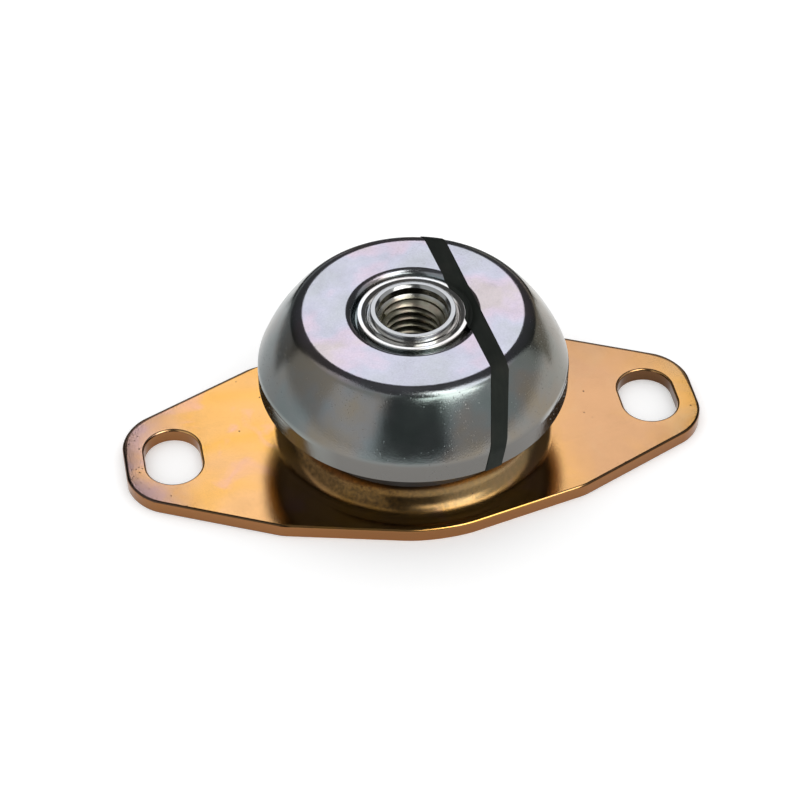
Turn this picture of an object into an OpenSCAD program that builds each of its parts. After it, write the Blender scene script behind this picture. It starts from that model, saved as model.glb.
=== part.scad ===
// Rubber anti-vibration mount: a pressed steel dome on a rubber ring, bonded to a two-slot base plate.
// Millimetres. The origin is the centre of the base plate's underside, +Z goes up along the bush,
// and +X goes along the plate.

/* [Base plate] */
// Length of the plate
plate_len = 114.4; // [106:0.2:130]
// Thickness of the plate's steel
plate_t = 2.8; // [2.4:0.1:3.2]
// Radius of the rounded middle of each long edge, which is half the plate's width
waist_r = 29.1; // [28.5:0.1:32]
// Angle between the middle part of a long edge and the plate's length
waist_angle = 13.8; // [10:0.1:16]
// Distance from the axis to the corner between the middle and the sloping part of a long edge
corner_x = 29.6; // [26:0.1:33]
// Rounding of that corner
corner_r = 8; // [4:0.5:12]
// Half the width of the plate's straight end, before its corners are rounded
end_half_w = 9.5; // [8.5:0.1:12]
// Rounding of the end corners
end_corner_r = 9.2; // [5:0.1:10]
// Distance from the plate's end to the middle of a slot
slot_inset = 9.5; // [8.5:0.1:12]
// Width of a slot, along the plate
slot_w = 10.9; // [9:0.1:12]
// Length of a slot, across the plate
slot_len = 14.9; // [12.5:0.1:16]

/* [Raised seat of the plate] */
// Outside radius of the seat's wall
seat_wall_r = 22.6; // [21.5:0.1:24]
// Height of the seat above the plate
seat_h = 10.7; // [10:0.1:11.5]
// Rounding where the wall meets the plate
seat_foot_r = 4.8; // [4:0.1:5.4]
// Rounding of the seat's top edge
seat_edge_r = 4; // [3.4:0.1:4.6]

/* [Dome] */
// Radius of the dome at its rim
dome_r = 30; // [29:0.1:32]
// Height of the rim above the plate
rim_gap = 13.7; // [12.8:0.1:14.6]
// Height of the dome from its rim to its flat top
dome_h = 16.2; // [15:0.1:18]
// Thickness of the dome's steel
dome_t = 2; // [1.6:0.1:2.2]
// Height of the straight band above the rim
band_h = 4.1; // [3.6:0.1:5]
// Rounding between the band and the side
band_edge_r = 2.4; // [2.3:0.1:4]
// Distance that the side leans in, from the band up to the corner of the flat top
side_lean = 7.5; // [7:0.1:8.5]
// Distance that the side bulges out from a straight cone
side_bulge = 0.7; // [0.4:0.05:1]
// Rounding between the side and the flat top
top_bend_r = 3.7; // [3:0.1:4]

/* [Dish in the dome] */
// Depth of the dish below the flat top
dish_depth = 1.8; // [1.6:0.1:2]
// Distance that the dish's wall slopes in, from its top edge to its floor
dish_slope = 1; // [0.85:0.05:1.3]
// Rounding of the dish's top edge
dish_edge_r = 1.7; // [0.8:0.1:1.7]
// Radius of the hole through the dish's floor, which the bush fills
neck_r = 8; // [7.6:0.05:8.8]

/* [Bush] */
// Radius of the M12 thread's bore
bore_r = 5.1; // [5.05:0.05:5.2]
// Radius of the plain mouth above the thread
mouth_r = 6.7; // [6.2:0.1:6.9]
// Depth of the plain mouth
mouth_depth = 1.9; // [1.5:0.1:2.5]
// Chamfer between the plain mouth and the standing rim
mouth_chamfer = 0.5; // [0.3:0.05:0.6]
// Width of the standing rim round the mouth
rim_ring_w = 0.95; // [0.8:0.05:1.2]
// Height of the standing rim above the dome's flat top
rim_ring_h = 0.5; // [0.3:0.1:1]
// Width of the staking groove round the standing rim
groove_w = 0.9; // [0.7:0.05:1.1]
// Depth of the staking groove below the dome's flat top
groove_depth = 1.2; // [0.9:0.1:1.3]
// Width of the lip that staking rolled out over the dish's floor
lip_w = 1.65; // [1.4:0.05:1.9]
// Width of the lip's flat top, at its outer edge
lip_flat_w = 0.8; // [0.5:0.05:1]
// Distance that the lip falls from its flat top to the groove
lip_fall = 0.25; // [0.1:0.05:0.35]
// Depth of the lip's flat top below the dome's flat top
lip_depth = 0.4; // [0.3:0.1:0.6]
// Gap between the rolled-out lip and the dish's wall, at the floor
lip_gap = 0.4; // [0.3:0.05:0.7]
// Width of the collar that bears on the dome from inside
collar_w = 3; // [2.4:0.1:3.6]
// Thickness of that collar
collar_t = 2.6; // [2:0.1:3]
// Radius of the bush inside the rubber
bush_r = 9; // [8.6:0.1:9.6]
// Step from the bush down to the spigot that carries the rebound washer
spigot_step = 1.6; // [1.2:0.1:1.8]
// Thickness of the spigot's swaged end, below the washer
swage_t = 1.1; // [0.8:0.1:1.4]
// Width of the swaged end outside the spigot
swage_w = 1.2; // [0.8:0.1:1.6]
// Chamfer at the bottom of the bore
bore_chamfer = 0.9; // [0.5:0.1:1]

/* [Rebound washer] */
// Gap between the washer and the seat's wall around it
washer_gap = 2.8; // [2:0.1:3.4]
// Thickness of the washer
washer_t = 3; // [2.5:0.1:3.3]
// Gap between the washer and the rebound pad above it
rebound_gap = 1; // [0.5:0.1:1.5]

/* [Rubber] */
// Distance that the rubber laps down the seat's wall, below the seat's rounded edge
rubber_lap = 1.1; // [0.6:0.1:1.8]
// Thickness of the rubber at that lap
rubber_lap_t = 0.6; // [0.4:0.1:1]
// Distance that the rubber stays above the dome's rim, inside the band
rubber_setback = 1.6; // [1:0.1:2]
// Distance that the rubber stands out from the seat's wall where it is narrowest
rubber_neck = 1.8; // [1.2:0.1:2.6]
// Height of that narrowest place above the seat
rubber_neck_h = 1; // [0.4:0.1:1.6]
// Gap between the bush and the rubber round it
passage_gap = 1.6; // [1.2:0.1:2]
// Height above the seat at which the passage round the bush starts to widen
passage_h = 1; // [0.6:0.1:2]
// Thickness of the rubber that lines the hole in the seat
lining_t = 1.9; // [1.5:0.1:2.4]
// Gap between the dish's wall and the rubber, in the hollow under the dome
hollow_gap = 1.5; // [1:0.1:2]
// Height above the seat at which that hollow has its full width
hollow_h = 7; // [5:0.1:9]
// Width of the rebound pad outside the hole in the seat
pad_w = 4; // [3:0.1:4.6]
// Thickness of the rebound pad
pad_t = 1.8; // [1.4:0.1:2]

/* [Colour stripe] */
// Thickness of the paint
paint_t = 0.12; // [0.08:0.02:0.2]
// Distance from the axis to the stripe's middle at the front corner of the flat top
stripe_x = 12.9; // [11.8:0.1:14]
// Lean of the stripe across the flat top, from square to the plate
stripe_lean = 7.1; // [4:0.1:8]
// Lean of the stripe down the front of the dome, the other way
stripe_front_lean = 11.5; // [5:0.1:20]
// Height above the rim from which the stripe leans aside on its way down
stripe_hook_h = 5.5; // [4:0.1:7]
// Lean of the stripe below that height
stripe_hook_lean = 11; // [0:0.5:15]
// Width of the stripe behind the dome
stripe_back_w = 3.9; // [3:0.1:4.5]
// Width of the stripe at the front corner of the flat top
stripe_corner_w = 3.4; // [2.8:0.1:4]
// Width of the stripe in front of the rim
stripe_rim_w = 2.9; // [2.4:0.1:3.5]

/* [Hidden] */
$fn = 96;

// Small roundings: stamped or turned edge, top of the staked lip, tip of the staking tool,
// edges and bends of the rubber
edge_r = 0.3;
lip_bend_r = 1;
groove_tip_r = 0.15;
rubber_edge_r = 1;
rubber_bend_r = 3;

// Radii of the staked end, from the mouth outwards, and of the dish round it
rim_in_r = mouth_r + mouth_chamfer;
rim_out_r = rim_in_r + rim_ring_w;
lip_in_r = rim_out_r + groove_w;
lip_out_r = lip_in_r + lip_w;
dish_floor_r = lip_out_r + lip_gap;
dish_r = dish_floor_r + dish_slope;

// Radii round the bush, from the spigot out to the seat
spigot_r = bush_r - spigot_step;
passage_r = bush_r + passage_gap;
seat_hole_r = passage_r + lining_t;
pad_r = seat_hole_r + pad_w;
seat_inside_r = seat_wall_r - plate_t;
washer_r = seat_inside_r - washer_gap;

// Heights above the underside of the plate
seat_z = plate_t + seat_h;
seat_under_z = seat_z - plate_t;
pad_z = seat_under_z - pad_t;
washer_top_z = pad_z - rebound_gap;
washer_z = washer_top_z - washer_t;
bush_foot_z = washer_z - swage_t;
rim_z = plate_t + rim_gap;
flat_z = rim_z + dome_h;
dome_under_z = flat_z - dome_t;
dish_z = flat_z - dish_depth;
collar_z = dish_z - dome_t;
lip_z = flat_z - lip_depth;
rim_top_z = flat_z + rim_ring_h;

// Points along an arc, from one angle to another
function arc(centre, radius, from, to, steps) =
    [for (i = [0 : steps]) let (a = from + (to - from) * i / steps) centre + radius * [cos(a), sin(a)]];

function angle_of(v) = atan2(v[1], v[0]);

// The turn from one angle to another, the short way round
function turn_between(from, to) = (to - from + 540) % 360 - 180;

function left_of(from, to) = let (d = (to - from) / norm(to - from)) [-d[1], d[0]];

function xy(corner) = [corner[0], corner[1]];

function reversed(list) = [for (i = [len(list) - 1 : -1 : 0]) list[i]];

// Points of an arc between two points, which bulges out to the right of the line between them
function bulged(from, to, bulge, steps) = let (
        half = norm(to - from) / 2,
        radius = (half * half + bulge * bulge) / (2 * bulge),
        centre = (from + to) / 2 + left_of(from, to) * (radius - bulge),
        start = angle_of(from - centre)
    )
    arc(centre, radius, start, start + turn_between(start, angle_of(to - centre)), steps);

function rounding(corner) = len(corner) > 2 ? corner[2] : 0;

// Half the angle between the two edges of a corner
function half_angle(before, corner, after) = let (
        to_before = before - corner,
        to_after = after - corner
    )
    acos(to_before * to_after / norm(to_before) / norm(to_after)) / 2;

// Points of a corner rounded over a length of its edges, one for about every 12 degrees and 1.5 mm
function fillet(before, corner, after, reach) = let (
        u = (before - corner) / norm(before - corner),
        w = (after - corner) / norm(after - corner),
        half = half_angle(before, corner, after),
        centre = corner + (u + w) / norm(u + w) * reach / cos(half),
        from = angle_of(corner + u * reach - centre),
        turn = turn_between(from, angle_of(corner + w * reach - centre)),
        length = reach * tan(half) * abs(turn) * PI / 180
    )
    arc(centre, reach * tan(half), from, from + turn, max(2, ceil(abs(turn) / 12), ceil(length / 1.5)));

// A closed outline from its corners [x, y, rounding]; a corner with no third value stays sharp, and
// two roundings share the edge between them where it is too short for both
function rounded(corners) = let (
        n = len(corners),
        at = [for (i = [0 : n]) xy(corners[i % n])],
        edge = [for (i = [0 : n - 1]) norm(at[i + 1] - at[i])],
        reach = [for (i = [0 : n - 1]) rounding(corners[i]) == 0
            ? 0
            : rounding(corners[i]) / tan(half_angle(at[(i + n - 1) % n], at[i], at[i + 1]))]
    )
    [for (i = [0 : n - 1]) let (before = (i + n - 1) % n, after = (i + 1) % n)
        each reach[i] == 0
            ? [at[i]]
            : fillet(at[before], at[i], at[after], reach[i] * min(1,
                edge[before] / (reach[before] + reach[i]), edge[i] / (reach[i] + reach[after])))];

// The corners of a sheet's other face: the path moved to its left by the sheet's thickness
function other_face(path, t) = [for (i = [0 : len(path) - 1]) let (
        last = len(path) - 1,
        here = xy(path[i]),
        n_in = i > 0 ? left_of(xy(path[i - 1]), here) : left_of(here, xy(path[1])),
        n_out = i < last ? left_of(here, xy(path[i + 1])) : n_in,
        turns_left = n_in[0] * n_out[1] - n_in[1] * n_out[0] > 0,
        radius = rounding(path[i]),
        moved = here + (n_in + n_out) / (1 + n_in * n_out) * t
    )
    radius == 0 ? moved : [moved[0], moved[1], max(0, turns_left ? radius - t : radius + t)]];

// Section of the seat's upper face, from the flat plate up the wall to the hole; the seat's ring
// starts a little outside its foot rounding and overlaps the plate round it
seat_window_r = seat_wall_r + seat_foot_r + 0.1;
seat_face = [
    [seat_window_r + 0.1, plate_t],
    [seat_wall_r, plate_t, seat_foot_r],
    [seat_wall_r, seat_z, seat_edge_r],
    [seat_hole_r, seat_z]
];

// Section of the dome's outer face: rim, band, bulged side, flat top, dish wall and dish floor
top_corner_r = dome_r - side_lean;
side = bulged([dome_r, rim_z + band_h], [top_corner_r, flat_z], side_bulge, 4);
dome_face = [
    [dome_r, rim_z],
    [side[0][0], side[0][1], band_edge_r],
    side[1],
    side[2],
    side[3],
    [top_corner_r, flat_z, top_bend_r],
    [dish_r, flat_z, dish_edge_r],
    [dish_floor_r, dish_z],
    [neck_r, dish_z]
];
dome_inside = other_face(dome_face, dome_t);

// Section of the bush's staked end: rolled-out lip, groove and standing rim, from the dish inwards
staked_end = [
    [lip_out_r, dish_z],
    [lip_out_r, lip_z, edge_r],
    [lip_out_r - lip_flat_w, lip_z, lip_bend_r],
    [lip_in_r, lip_z - lip_fall, edge_r],
    [(rim_out_r + lip_in_r) / 2, flat_z - groove_depth, groove_tip_r],
    [rim_out_r, rim_top_z, edge_r],
    [rim_in_r, rim_top_z, edge_r]
];

// Half of the plate's outline, from its right end over its back edge to its left end
waist_y = waist_r / cos(waist_angle);
back_edge = [
    [plate_len / 2, end_half_w, end_corner_r],
    [corner_x, waist_y - corner_x * tan(waist_angle), corner_r],
    [0, waist_y, waist_r],
    [-corner_x, waist_y - corner_x * tan(waist_angle), corner_r],
    [-plate_len / 2, end_half_w, end_corner_r]
];
front_edge = [for (c = reversed(back_edge)) [c[0], -c[1], c[2]]];

module slot(x) {
    straight = slot_len - slot_w;
    for (y = [-straight / 2, straight / 2]) translate([x, y, -1]) cylinder(h = plate_t + 2, d = slot_w);
    translate([x - slot_w / 2, -straight / 2, -1]) cube([slot_w, straight, plate_t + 2]);
}

// One pressing: lozenge plate with two slots and a raised hollow seat
module base_plate() {
    color("#e8b45a") union() {
        difference() {
            linear_extrude(plate_t) polygon(rounded(concat(back_edge, front_edge)));
            translate([0, 0, -1]) cylinder(h = plate_t + 2, r = seat_window_r);
            for (end = [-1, 1]) slot(end * (plate_len / 2 - slot_inset));
        }
        rotate_extrude() polygon(rounded(concat(seat_face, reversed(other_face(seat_face, plate_t)))));
    }
}

// One pressing: domed cap with a straight band at its rim and a dish for the bush
module dome_cap() {
    color("#a9abb0") rotate_extrude() polygon(rounded(concat(dome_face, reversed(dome_inside))));
}

// One moulding, bonded to the inside of the dome and to the seat; it also lines the seat's hole
module rubber_body() {
    hollow_r = dome_inside[6][0] + hollow_gap;
    foot_z = seat_z - seat_edge_r - rubber_lap;
    on_seat = [
        [seat_wall_r, foot_z],
        [seat_wall_r, seat_z, seat_edge_r],
        [seat_hole_r, seat_z],
        [seat_hole_r, seat_under_z]
    ];
    rebound_pad = [
        [pad_r, seat_under_z],
        [pad_r, pad_z, rubber_edge_r],
        [passage_r, pad_z, rubber_edge_r]
    ];
    round_the_bush = [
        [passage_r, seat_z + passage_h, rubber_bend_r],
        [hollow_r, seat_z + hollow_h, rubber_bend_r],
        [hollow_r, dome_under_z]
    ];
    on_dome = [for (i = [5 : -1 : 1]) dome_inside[i]];
    under_the_rim = [
        [dome_r - dome_t, rim_z + rubber_setback],
        [seat_wall_r + rubber_neck, seat_z + rubber_neck_h, rubber_bend_r],
        [seat_wall_r + rubber_lap_t, foot_z + rubber_lap_t / 2, edge_r]
    ];
    color("#1c1c1c") rotate_extrude()
        polygon(rounded(concat(on_seat, rebound_pad, round_the_bush, on_dome, under_the_rim)));
}

// Turned bush with the threaded bore, staked over the dome and swaged under the washer
module centre_bush() {
    swage_r = spigot_r + swage_w;
    collar_r = neck_r + collar_w;
    mouth_z = rim_top_z - mouth_depth;
    outside = [
        [bore_r + bore_chamfer, bush_foot_z],
        [swage_r, bush_foot_z, 2 * edge_r],
        [swage_r, washer_z],
        [spigot_r, washer_z],
        [spigot_r, washer_top_z],
        [bush_r, washer_top_z],
        [bush_r, collar_z - collar_t, 2 * edge_r],
        [collar_r, collar_z - collar_t, edge_r],
        [collar_r, collar_z],
        [neck_r, collar_z],
        [neck_r, dish_z]
    ];
    inside = [
        [mouth_r, rim_top_z - mouth_chamfer],
        [mouth_r, mouth_z],
        [bore_r, mouth_z - (mouth_r - bore_r)],
        [bore_r, bush_foot_z + bore_chamfer]
    ];
    color("#c4c6ca") rotate_extrude() polygon(rounded(concat(outside, staked_end, inside)));
}

// Stamped washer inside the seat, which keeps the dome from being pulled off
module rebound_washer() {
    color("#b5b7bb") rotate_extrude() polygon(rounded([
        [spigot_r, washer_z],
        [washer_r, washer_z, edge_r],
        [washer_r, washer_top_z, edge_r],
        [spigot_r, washer_top_z]
    ]));
}

// One edge of the stripe in plan, the right one for 1 and the left one for -1: behind the dome,
// at the front corner of the flat top and in front of the rim
function stripe_edge(right) = let (
        corner_y = -sqrt(top_corner_r * top_corner_r - stripe_x * stripe_x),
        back_y = dome_r + 2,
        front_y = -dome_r - 2
    ) [
        [stripe_x - (back_y - corner_y) * tan(stripe_lean) + right * stripe_back_w / 2, back_y],
        [stripe_x + right * stripe_corner_w / 2, corner_y],
        [stripe_x + (front_y - corner_y) * tan(stripe_front_lean) + right * stripe_rim_w / 2, front_y]
    ];

// Paint film that follows the dome, fills the gap at the rolled-out lip and covers the lip's top
module colour_stripe() {
    painted = [for (i = [0 : 7]) dome_face[i]];
    film = other_face([for (i = [0 : 6]) dome_face[i]], -paint_t);
    on_lip = [
        staked_end[0],
        staked_end[1],
        xy(staked_end[2]),
        [lip_out_r - lip_flat_w, lip_z + paint_t],
        [lip_out_r, lip_z + paint_t]
    ];
    plan = concat(stripe_edge(1), reversed(stripe_edge(-1)));
    hook_z = rim_z + stripe_hook_h;
    hook = tan(stripe_hook_lean);
    color("#2f352f") intersection() {
        union() {
            translate([0, 0, hook_z]) linear_extrude(flat_z + 1 - hook_z) polygon(plan);
            multmatrix([[1, 0, hook, -hook * hook_z], [0, 1, 0, 0], [0, 0, 1, 0]])
                translate([0, 0, rim_z - 1]) linear_extrude(stripe_hook_h + 1) polygon(plan);
        }
        rotate_extrude() polygon(rounded(concat(painted, on_lip, reversed(film))));
    }
}

base_plate();
dome_cap();
rubber_body();
centre_bush();
rebound_washer();
colour_stripe();
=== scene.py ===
import math

import bmesh
import bpy
from mathutils import Matrix, Vector


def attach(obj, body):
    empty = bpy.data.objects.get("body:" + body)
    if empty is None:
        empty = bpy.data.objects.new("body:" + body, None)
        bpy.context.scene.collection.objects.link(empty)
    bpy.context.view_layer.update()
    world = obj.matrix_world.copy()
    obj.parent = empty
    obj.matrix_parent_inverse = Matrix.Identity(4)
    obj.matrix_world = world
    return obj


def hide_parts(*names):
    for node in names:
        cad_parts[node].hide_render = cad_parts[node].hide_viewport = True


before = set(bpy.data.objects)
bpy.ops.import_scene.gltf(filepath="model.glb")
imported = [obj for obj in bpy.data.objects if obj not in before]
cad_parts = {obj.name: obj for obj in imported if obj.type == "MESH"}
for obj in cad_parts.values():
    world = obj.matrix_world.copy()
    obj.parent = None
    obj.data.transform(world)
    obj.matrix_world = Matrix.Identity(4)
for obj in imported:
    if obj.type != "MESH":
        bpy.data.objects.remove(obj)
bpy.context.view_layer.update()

MM = 0.001
FULL_TURN = 2 * math.pi

# Sizes of the real mount in millimetres, as the solids have them: Z is a height above the floor, R a
# radius round the bush's axis, T a thickness, and ROUND the rounding of a corner

# Base plate
PLATE_T = 2.8
PLATE_HALF_LEN = 57.2
WAIST_R = 29.1
WAIST_ANGLE = math.radians(13.8)
WAIST_Y = WAIST_R / math.cos(WAIST_ANGLE)
CORNER_X = 29.6
CORNER_Y = WAIST_Y - CORNER_X * math.tan(WAIST_ANGLE)
CORNER_R = 8.0
END_HALF_W = 9.5
END_CORNER_R = 9.2
SLOT_X = 47.7
SLOT_W = 10.9
SLOT_LEN = 14.9
SEAT_WALL_R = 22.6
SEAT_HOLE_R = 12.5
SEAT_Z = 13.5
SEAT_ROUND = 4.0
SEAT_FOOT_R = 4.8
SEAT_RING_R = 27.6

# Dome
DOME_R = 30.0
DOME_T = 2.0
RIM_Z = 16.5
FLAT_Z = 32.7
DOME_UNDER_Z = 30.7
BAND_TOP = (30.0, 20.6)
BAND_ROUND = 2.4
SIDE_TOP = (22.5, 32.7)
SIDE_ROUND = 3.7
BAND_TOP_INSIDE = (28.0, 20.24)
BAND_ROUND_INSIDE = 0.4
SIDE_TOP_INSIDE = (21.63, 30.7)
SIDE_ROUND_INSIDE = 1.7
SIDE_BULGE = 0.7
SIDE_BULGE_INSIDE = 0.55
SIDES = [(BAND_TOP, SIDE_TOP, SIDE_BULGE), (BAND_TOP_INSIDE, SIDE_TOP_INSIDE, SIDE_BULGE_INSIDE)]
DISH_R = 12.1
DISH_ROUND = 1.7
DISH_FLOOR_R = 11.1
DISH_Z = 30.9
DISH_BACK_R = 13.28
DISH_BACK_FLOOR_R = 12.28
NECK_R = 8.0

# Bush and its M12 thread
RIM_TOP_Z = 33.2
RIM_OUT_R = 8.15
MOUTH_R = 6.7
MOUTH_DEPTH = 1.9
MOUTH_CHAMFER = 0.5
GROOVE_R = 8.6
GROOVE_Z = 31.5
LIP_Z = 32.3
LIP_OUT_R = 10.7
LIP_BEND_R = 9.9
LIP_IN_R = 9.05
LIP_FALL = 0.25
COLLAR_Z = 28.9
COLLAR_R = 11.0
COLLAR_T = 2.6
BUSH_R = 9.0
BUSH_FOOT_Z = 3.8
SPIGOT_R = 7.4
SWAGE_R = 8.6
THREAD_MAJOR_R = 6.0
THREAD_ROOT_R = THREAD_MAJOR_R + 0.05
THREAD_CREST_R = 5.1
THREAD_PITCH = 1.75

# Washer and rubber
WASHER_Z = 4.9
WASHER_TOP_Z = 7.9
WASHER_R = 17.0
RUBBER_FOOT_Z = 8.4
RUBBER_LAP_T = 0.6
RUBBER_NECK = 1.8
RUBBER_NECK_Z = SEAT_Z + 1.0
RUBBER_SETBACK = 1.6
PASSAGE_R = 10.6
PASSAGE_TOP_Z = SEAT_Z + 1.0
HOLLOW_R = 14.777
HOLLOW_Z = SEAT_Z + 7.0
PAD_R = 16.5
PAD_Z = 8.9

# Painted stripe
PAINT_T = 0.12
STRIPE_X = 12.9
STRIPE_WIDTHS = (3.9, 3.4, 2.9)
STRIPE_LEAN = math.radians(7.1)
STRIPE_FRONT_LEAN = math.radians(11.5)
STRIPE_HOOK_Z = 22.0
STRIPE_HOOK_LEAN = math.radians(11)

# Roundings of the plate's stamped edges, which the solids leave sharp
TOP_EDGE_ROUND = 0.5
LOW_EDGE_ROUND = 0.15

# Steps in one full turn of the turned and pressed forms, of the thread and of the thin paint
TURN_STEPS = 192
THREAD_STEPS = 96
PAINT_STEPS = 384

# The camera's place round the mount, in degrees and millimetres, and its sensor and lens
CAMERA_AZIMUTH = -10.25
CAMERA_BEARING = CAMERA_AZIMUTH - 90
CAMERA_ELEVATION = 42.91
CAMERA_ROLL = -0.35
CAMERA_AIM_Z = 15.0
CAMERA_LEFT = 2.56
CAMERA_DOWN = 3.95
CAMERA_AWAY = 499.5
SENSOR_WIDTH = 36.0
LENS = 115.7

# Height of the point that the cards stand round, inside the dome, in millimetres
CARDS_Z = 25.0


# ---- mesh helpers

def spot(x, z, y=0.0):
    """A place given in millimetres."""
    return Vector((x, y, z)) * MM


def corner_at(bm, place):
    """The corner of a wire that stands at a place."""
    return min(bm.verts, key=lambda v: (v.co - place).length)


def bend(vert):
    """How far a wire turns at a vertex; a free end counts as a full corner."""
    if len(vert.link_edges) != 2:
        return math.pi
    a, b = [edge.other_vert(vert).co - vert.co for edge in vert.link_edges]
    return math.pi - a.angle(b)


def round_corner(bm, place, radius, segments=6):
    """Rounds the corner at a place; gentle cuts that stand nearer than the rounding reaches go first."""
    gentle = 0.15
    while True:
        vert = corner_at(bm, place)
        reach = radius * MM * math.tan(bend(vert) / 2)
        near = [edge.other_vert(vert) for edge in vert.link_edges
                if edge.calc_length() < reach and bend(edge.other_vert(vert)) < gentle]
        if not near:
            break
        bmesh.ops.dissolve_verts(bm, verts=near[:1])
    reach = min([reach] + [edge.calc_length() * 0.98 for edge in vert.link_edges])
    bmesh.ops.bevel(bm, geom=[vert], offset=reach, offset_type="OFFSET", segments=segments,
                    profile=0.5, affect="VERTICES", material=-1)


def bulge_side(bm, low, high, rise, cuts=17):
    """Cuts the edge between two corners (radius, height) and pushes the cuts out to a shallow arc."""
    start, end = corner_at(bm, spot(*low)), corner_at(bm, spot(*high))
    edge = next(e for e in start.link_edges if e.other_vert(start) == end)
    middle, half = (start.co + end.co) / 2, (end.co - start.co).length / 2
    outward = Vector((end.co.z - start.co.z, 0, start.co.x - end.co.x)).normalized()
    radius = (half * half + (rise * MM) ** 2) / (2 * rise * MM)
    made = bmesh.ops.subdivide_edges(bm, edges=[edge], cuts=cuts)["geom_inner"]
    for vert in [v for v in made if isinstance(v, bmesh.types.BMVert)]:
        off = (vert.co - middle).length
        vert.co += outward * (math.sqrt(radius * radius - off * off) - (radius - rise * MM))


def profile(bm, corners, closed=True, bulges=(), segments=6):
    """A wire in the XZ plane from its corners (radius, height, rounding), with bulged sides."""
    verts = [bm.verts.new(spot(r, z)) for r, z, _ in corners]
    for i in range(len(verts) if closed else len(verts) - 1):
        bm.edges.new((verts[i], verts[(i + 1) % len(verts)]))
    for low, high, rise in bulges:
        bulge_side(bm, low, high, rise)
    for r, z, rounding in corners:
        if rounding:
            round_corner(bm, spot(r, z), rounding, segments)


def spin_round(bm, steps=TURN_STEPS):
    """Turns the wire once round the bush's axis and closes the seam. It starts half a step off the X axis,
    so that no corner of the many-sided ring stands out past the round solid's own box."""
    bmesh.ops.rotate(bm, verts=bm.verts[:], matrix=Matrix.Rotation(math.pi / steps, 3, "Z"))
    bmesh.ops.spin(bm, geom=bm.verts[:] + bm.edges[:], cent=(0, 0, 0), axis=(0, 0, 1),
                   angle=FULL_TURN, steps=steps, use_merge=True)
    bmesh.ops.remove_doubles(bm, verts=bm.verts[:], dist=1e-7)


def join(bm, other):
    """Adds another mesh to this one."""
    mesh = bpy.data.meshes.new("joined")
    other.to_mesh(mesh)
    other.free()
    bm.from_mesh(mesh)
    bpy.data.meshes.remove(mesh)


def object_from(bm, name, material):
    """Makes the mesh an object of the scene."""
    mesh = bpy.data.meshes.new(name)
    bm.to_mesh(mesh)
    bm.free()
    mesh.materials.append(material)
    made = bpy.data.objects.new(name, mesh)
    bpy.context.scene.collection.objects.link(made)
    return made


def piece_from(bm, name, material, node, sharp_deg=40):
    """Makes the mesh a piece that rides on the mount and stands for one of its solids."""
    bmesh.ops.recalc_face_normals(bm, faces=bm.faces[:])
    piece = object_from(bm, name, material)
    piece.data.shade_smooth()
    piece.data.set_sharp_from_angle(angle=math.radians(sharp_deg))
    shading = piece.modifiers.new("even_shading", "WEIGHTED_NORMAL")
    shading.keep_sharp = True
    shading.weight = 80
    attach(piece, "root")
    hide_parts(node)
    return piece


def turned_piece(name, corners, material, node, bulges=(), segments=6):
    """A closed turned or pressed ring from its corners (radius, height, rounding)."""
    bm = bmesh.new()
    profile(bm, corners, bulges=bulges, segments=segments)
    spin_round(bm)
    return piece_from(bm, name, material, node)


# ---- material helpers

def linear(hex_colour):
    """An sRGB hex value as linear colour."""
    channels = [int(hex_colour[i:i + 2], 16) / 255 for i in (1, 3, 5)]
    return tuple(c / 12.92 if c <= 0.04045 else ((c + 0.055) / 1.055) ** 2.4 for c in channels) + (1.0,)


def per(width):
    """The scale of a pattern whose real width is given in millimetres."""
    return 1 / (width * MM)


def add(tree, kind, inputs=None, stops=(), **settings):
    """Adds a node with its settings, a ramp's colour stops, and its inputs: each a value, or the node or
    socket that it is linked from."""
    node = tree.nodes.new(kind)
    for key, value in settings.items():
        setattr(node, key, value)
    for key, value in (inputs or {}).items():
        if isinstance(value, bpy.types.Node):
            value = next(socket for socket in value.outputs if socket.enabled)
        if isinstance(value, bpy.types.NodeSocket):
            tree.links.new(value, node.inputs[key])
        else:
            node.inputs[key].default_value = value
    for i, (position, colour) in enumerate(stops):
        stop = node.color_ramp.elements[i] if i < 2 else node.color_ramp.elements.new(position)
        stop.position = position
        stop.color = linear(colour)
    return node


def blank_material(name):
    """A material with an empty node tree."""
    material = bpy.data.materials.new(name)
    material.use_nodes = True
    material.node_tree.nodes.clear()
    return material


def made_of(finish):
    """The material of a finish, a function that adds the finish's nodes and returns its surface."""
    material = blank_material(finish.__name__)
    tree = material.node_tree
    surface = finish(tree, add(tree, "ShaderNodeTexCoord").outputs["Object"])
    add(tree, "ShaderNodeOutputMaterial", {"Surface": surface})
    return material


def dots(tree, place, width, share, edge, middle):
    """Round dots, one in each cell of a width in millimetres, in a share of the cells. They fade in from
    the edge to the middle, which are distances from a cell's middle in cell widths."""
    cells = add(tree, "ShaderNodeTexVoronoi", {"Vector": place, "Scale": per(width)})
    shade = add(tree, "ShaderNodeSeparateColor", {"Color": cells.outputs["Color"]})
    chosen = add(tree, "ShaderNodeMath", {0: shade.outputs["Red"], 1: share}, operation="LESS_THAN")
    dot = add(tree, "ShaderNodeMapRange", {
        "Value": cells.outputs["Distance"], "From Min": edge, "From Max": middle})
    return add(tree, "ShaderNodeMath", {0: chosen, 1: dot}, operation="MULTIPLY")


# ---- materials

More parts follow.
